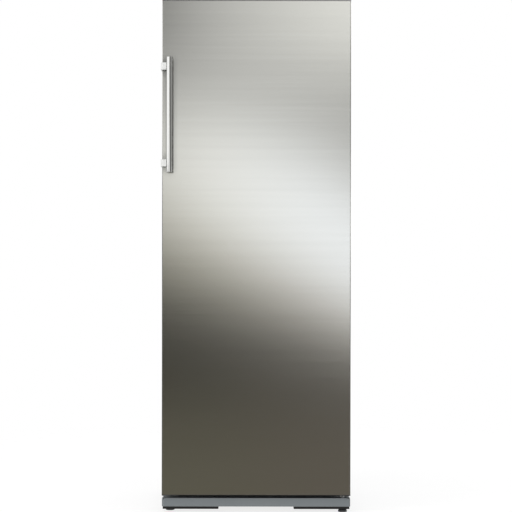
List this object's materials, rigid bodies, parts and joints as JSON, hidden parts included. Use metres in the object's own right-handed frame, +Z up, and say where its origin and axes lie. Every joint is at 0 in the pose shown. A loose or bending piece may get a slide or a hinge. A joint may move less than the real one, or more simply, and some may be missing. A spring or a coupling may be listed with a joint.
{
  "type": "upright freezer",
  "caption": "Free-standing upright freezer: right-hung brushed steel door with a side bar handle, pull-out drawers and flap compartments on evaporator shelves, rear compressor and condenser.",
  "frame": {"origin": "centre of the overall box in plan, on the floor", "axes": "+X to the right seen from the front, +Y from the door to the back, +Z up"},
  "size_m": [0.603, 0.695, 1.63],
  "materials": {
    "grey_paint": "silver grey lacquer, satin",
    "zinc_steel": "galvanised sheet, dull",
    "insulating_foam": "rigid foam, matt",
    "white_plastic": "white moulding, semi gloss",
    "dark_plastic": "dark grey moulding, matt",
    "black_steel": "black enamel, semi gloss",
    "rubber": "black rubber, matt",
    "seal_rubber": "grey seal, matt",
    "copper": "copper pipe, slightly dull",
    "white_coated_steel": "white coated tube, semi gloss",
    "plinth_plastic": "blue grey moulding, satin",
    "nylon": "natural nylon",
    "bright_steel": "bright steel",
    "lens": "tinted lens, gloss",
    "button_plastic": "yellow button, gloss",
    "stainless": "horizontally brushed stainless sheet",
    "chrome": "polished metal",
    "clear_plastic": "clear frosted moulding"
  },
  "bodies": {
    "cabinet": {"side_panel_left": "grey_paint", "side_panel_right": "grey_paint", "top_panel": "grey_paint", "back_panel": "zinc_steel", "bottom_panel": "zinc_steel", "cabinet_foam": "insulating_foam", "inner_liner": "white_plastic", "front_rails": "zinc_steel", "base_rails": "black_steel", "foot_carriers": "black_steel", "plinth": "plinth_plastic", "compressor_tray": "zinc_steel", "compressor": "black_steel", "compressor_grommets": "rubber", "relay_cover": "dark_plastic", "mains_terminal_box": "dark_plastic", "condenser_tube": "black_steel", "condenser_wires": "black_steel", "condenser_clips": "dark_plastic", "filter_drier": "copper", "refrigerant_pipes": "copper", "evaporator_tube": "white_coated_steel", "evaporator_wires": "white_coated_steel", "upper_hinge_bracket": "zinc_steel", "lower_hinge_bracket": "zinc_steel", "hinge_covers": "grey_paint", "hinge_washer": "nylon", "cabinet_screws": "bright_steel", "control_fascia": "white_plastic", "thermostat_body": "white_plastic", "indicator_lenses": "lens", "flap_hinge_blocks": "white_plastic", "roller_axles": "bright_steel"},
    "door": {"door_skin": "stainless", "door_top_cap": "dark_plastic", "door_bottom_cap": "dark_plastic", "door_foam": "insulating_foam", "door_liner": "white_plastic", "door_gasket": "seal_rubber", "handle_bar": "chrome", "handle_brackets": "chrome", "handle_screws": "bright_steel", "door_bushes": "nylon"},
    "drawer_1": {"drawer_tub_1": "clear_plastic", "drawer_front_1": "white_plastic"},
    "drawer_2": {"drawer_tub_2": "clear_plastic", "drawer_front_2": "white_plastic"},
    "drawer_3": {"drawer_tub_3": "clear_plastic", "drawer_front_3": "white_plastic"},
    "drawer_4": {"drawer_tub_4": "clear_plastic", "drawer_front_4": "white_plastic"},
    "flap_1": {"flap_1": "clear_plastic"},
    "flap_2": {"flap_2": "clear_plastic"},
    "thermostat_knob": {"thermostat_knob": "dark_plastic"},
    "freeze_button": {"freeze_button": "button_plastic"},
    "foot_left": {"foot_left": "dark_plastic"},
    "foot_right": {"foot_right": "dark_plastic"},
    "rear_roller_left": {"rear_roller_left": "dark_plastic"},
    "rear_roller_right": {"rear_roller_right": "dark_plastic"}
  },
  "joints": [
    {"name": "door_hinge", "type": "hinge", "parent": "cabinet", "child": "door", "pos_m": [0.275, -0.2785, 0.8], "axis": [0, 0, 1], "range_deg": [0, 115]},
    {"name": "drawer_slide_1", "type": "slide", "parent": "cabinet", "child": "drawer_1", "axis": [0, -1, 0], "range_m": [0, 0.171]},
    {"name": "drawer_slide_2", "type": "slide", "parent": "cabinet", "child": "drawer_2", "axis": [0, -1, 0], "range_m": [0, 0.171]},
    {"name": "drawer_slide_3", "type": "slide", "parent": "cabinet", "child": "drawer_3", "axis": [0, -1, 0], "range_m": [0, 0.171]},
    {"name": "drawer_slide_4", "type": "slide", "parent": "cabinet", "child": "drawer_4", "axis": [0, -1, 0], "range_m": [0, 0.171]},
    {"name": "flap_hinge_1", "type": "hinge", "parent": "cabinet", "child": "flap_1", "pos_m": [0, -0.193, 1.286], "axis": [-1, 0, 0], "range_deg": [0, 56]},
    {"name": "flap_hinge_2", "type": "hinge", "parent": "cabinet", "child": "flap_2", "pos_m": [0, -0.193, 1.528], "axis": [-1, 0, 0], "range_deg": [0, 56]},
    {"name": "thermostat_turn", "type": "hinge", "parent": "cabinet", "child": "thermostat_knob", "pos_m": [-0.06, -0.2435, 1.599], "axis": [0, -1, 0], "range_deg": [0, 270]},
    {"name": "freeze_button_press", "type": "slide", "parent": "cabinet", "child": "freeze_button", "axis": [0, 1, 0], "range_m": [0, 0.002], "stiffness_N_per_m": 600},
    {"name": "foot_left_turn", "type": "hinge", "parent": "cabinet", "child": "foot_left", "pos_m": [-0.276, -0.2275, 0.011], "axis": [0, 0, 1], "continuous": true},
    {"name": "foot_right_turn", "type": "hinge", "parent": "cabinet", "child": "foot_right", "pos_m": [0.276, -0.2705, 0.011], "axis": [0, 0, 1], "continuous": true},
    {"name": "rear_roller_left_turn", "type": "hinge", "parent": "cabinet", "child": "rear_roller_left", "pos_m": [-0.274, 0.29, 0.011], "axis": [1, 0, 0], "continuous": true},
    {"name": "rear_roller_right_turn", "type": "hinge", "parent": "cabinet", "child": "rear_roller_right", "pos_m": [0.274, 0.29, 0.011], "axis": [1, 0, 0], "continuous": true}
  ],
  "couplings": [
    {"joint": "drawer_slide_1", "follows": "door_hinge", "m_per_rad": 0.085},
    {"joint": "drawer_slide_2", "follows": "door_hinge", "m_per_rad": 0.085},
    {"joint": "drawer_slide_3", "follows": "door_hinge", "m_per_rad": 0.085},
    {"joint": "drawer_slide_4", "follows": "door_hinge", "m_per_rad": 0.085},
    {"joint": "flap_hinge_1", "follows": "door_hinge", "ratio": 0.48},
    {"joint": "flap_hinge_2", "follows": "door_hinge", "ratio": 0.48}
  ]
}
